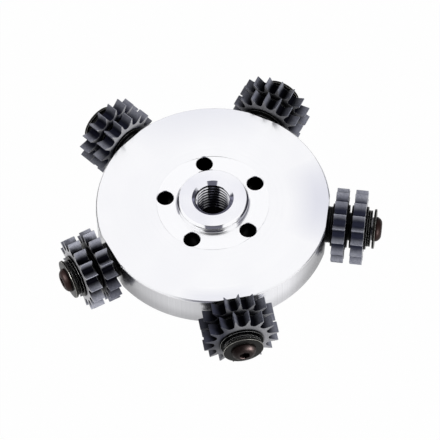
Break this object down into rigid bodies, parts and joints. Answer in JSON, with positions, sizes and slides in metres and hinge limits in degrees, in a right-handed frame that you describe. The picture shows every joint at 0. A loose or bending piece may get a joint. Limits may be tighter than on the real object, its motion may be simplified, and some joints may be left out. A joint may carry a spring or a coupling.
{
  "type": "rotary milling head",
  "caption": "Turned disc with a threaded hub boss and radial axle screws, each carrying free-spinning pointed star wheels between washers.",
  "frame": {"origin": "on the spin axis at the carrier disc's mid-thickness, where the five axle lines meet", "axes": "+Z along the spin axis, out of the threaded hub boss; +X along the axle line of station 1; the other stations follow every 72 degrees, anticlockwise seen from +Z"},
  "size_m": [0.1347, 0.1396, 0.032],
  "materials": {
    "turned_aluminium": "bright turned",
    "carbide": "matte sintered",
    "black_steel": "black oxide",
    "bronzed_steel": "bronzed, semi-gloss",
    "plain_steel": "ground"
  },
  "bodies": {
    "root": {"carrier_disc": "turned_aluminium", "axle_screw_1": "bronzed_steel", "head_washer_1": "bronzed_steel", "sleeve_1": "plain_steel", "axle_screw_2": "bronzed_steel", "head_washer_2": "bronzed_steel", "sleeve_2": "plain_steel", "axle_screw_3": "bronzed_steel", "head_washer_3": "bronzed_steel", "sleeve_3": "plain_steel", "axle_screw_4": "bronzed_steel", "head_washer_4": "bronzed_steel", "sleeve_4": "plain_steel", "axle_screw_5": "bronzed_steel", "head_washer_5": "bronzed_steel", "sleeve_5": "plain_steel"},
    "float_stack_1": {"inner_spacer_1": "black_steel", "inner_thrust_washer_1": "black_steel", "spool_spacer_1": "black_steel", "outer_thrust_washer_1": "black_steel", "inner_shim_1": "black_steel", "outer_shim_1": "black_steel"},
    "inner_wheel_1": {"inner_star_wheel_1": "carbide"},
    "outer_wheel_1": {"outer_star_wheel_1": "carbide"},
    "float_stack_2": {"inner_spacer_2": "black_steel", "inner_thrust_washer_2": "black_steel", "spool_spacer_2": "black_steel", "outer_thrust_washer_2": "black_steel", "inner_shim_2": "black_steel", "outer_shim_2": "black_steel"},
    "inner_wheel_2": {"inner_star_wheel_2": "carbide"},
    "outer_wheel_2": {"outer_star_wheel_2": "carbide"},
    "float_stack_3": {"inner_spacer_3": "black_steel", "inner_thrust_washer_3": "black_steel", "spool_spacer_3": "black_steel", "outer_thrust_washer_3": "black_steel", "inner_shim_3": "black_steel", "outer_shim_3": "black_steel"},
    "inner_wheel_3": {"inner_star_wheel_3": "carbide"},
    "outer_wheel_3": {"outer_star_wheel_3": "carbide"},
    "float_stack_4": {"inner_spacer_4": "black_steel", "inner_thrust_washer_4": "black_steel", "spool_spacer_4": "black_steel", "outer_thrust_washer_4": "black_steel", "inner_shim_4": "black_steel", "outer_shim_4": "black_steel"},
    "inner_wheel_4": {"inner_star_wheel_4": "carbide"},
    "outer_wheel_4": {"outer_star_wheel_4": "carbide"},
    "float_stack_5": {"inner_spacer_5": "black_steel", "inner_thrust_washer_5": "black_steel", "spool_spacer_5": "black_steel", "outer_thrust_washer_5": "black_steel", "inner_shim_5": "black_steel", "outer_shim_5": "black_steel"},
    "inner_wheel_5": {"inner_star_wheel_5": "carbide"},
    "outer_wheel_5": {"outer_star_wheel_5": "carbide"}
  },
  "joints": [
    {"name": "stack_float_1", "type": "slide", "parent": "root", "child": "float_stack_1", "axis": [1, 0, 0], "range_m": [0, 0.00065]},
    {"name": "inner_wheel_spin_1", "type": "hinge", "parent": "float_stack_1", "child": "inner_wheel_1", "pos_m": [0.05465, 0, 0], "axis": [1, 0, 0], "continuous": true},
    {"name": "outer_wheel_spin_1", "type": "hinge", "parent": "float_stack_1", "child": "outer_wheel_1", "pos_m": [0.0627, 0, 0], "axis": [1, 0, 0], "continuous": true},
    {"name": "stack_float_2", "type": "slide", "parent": "root", "child": "float_stack_2", "axis": [0.309, 0.9511, 0], "range_m": [0, 0.00065]},
    {"name": "inner_wheel_spin_2", "type": "hinge", "parent": "float_stack_2", "child": "inner_wheel_2", "pos_m": [0.01689, 0.05198, 0], "axis": [0.309, 0.9511, 0], "continuous": true},
    {"name": "outer_wheel_spin_2", "type": "hinge", "parent": "float_stack_2", "child": "outer_wheel_2", "pos_m": [0.01937, 0.05963, 0], "axis": [0.309, 0.9511, 0], "continuous": true},
    {"name": "stack_float_3", "type": "slide", "parent": "root", "child": "float_stack_3", "axis": [-0.809, 0.5878, 0], "range_m": [0, 0.00065]},
    {"name": "inner_wheel_spin_3", "type": "hinge", "parent": "float_stack_3", "child": "inner_wheel_3", "pos_m": [-0.04421, 0.03212, 0], "axis": [-0.809, 0.5878, 0], "continuous": true},
    {"name": "outer_wheel_spin_3", "type": "hinge", "parent": "float_stack_3", "child": "outer_wheel_3", "pos_m": [-0.05072, 0.03685, 0], "axis": [-0.809, 0.5878, 0], "continuous": true},
    {"name": "stack_float_4", "type": "slide", "parent": "root", "child": "float_stack_4", "axis": [-0.809, -0.5878, 0], "range_m": [0, 0.00065]},
    {"name": "inner_wheel_spin_4", "type": "hinge", "parent": "float_stack_4", "child": "inner_wheel_4", "pos_m": [-0.04421, -0.03212, 0], "axis": [-0.809, -0.5878, 0], "continuous": true},
    {"name": "outer_wheel_spin_4", "type": "hinge", "parent": "float_stack_4", "child": "outer_wheel_4", "pos_m": [-0.05072, -0.03685, 0], "axis": [-0.809, -0.5878, 0], "continuous": true},
    {"name": "stack_float_5", "type": "slide", "parent": "root", "child": "float_stack_5", "axis": [0.309, -0.9511, 0], "range_m": [0, 0.00065]},
    {"name": "inner_wheel_spin_5", "type": "hinge", "parent": "float_stack_5", "child": "inner_wheel_5", "pos_m": [0.01689, -0.05198, 0], "axis": [0.309, -0.9511, 0], "continuous": true},
    {"name": "outer_wheel_spin_5", "type": "hinge", "parent": "float_stack_5", "child": "outer_wheel_5", "pos_m": [0.01937, -0.05963, 0], "axis": [0.309, -0.9511, 0], "continuous": true}
  ]
}
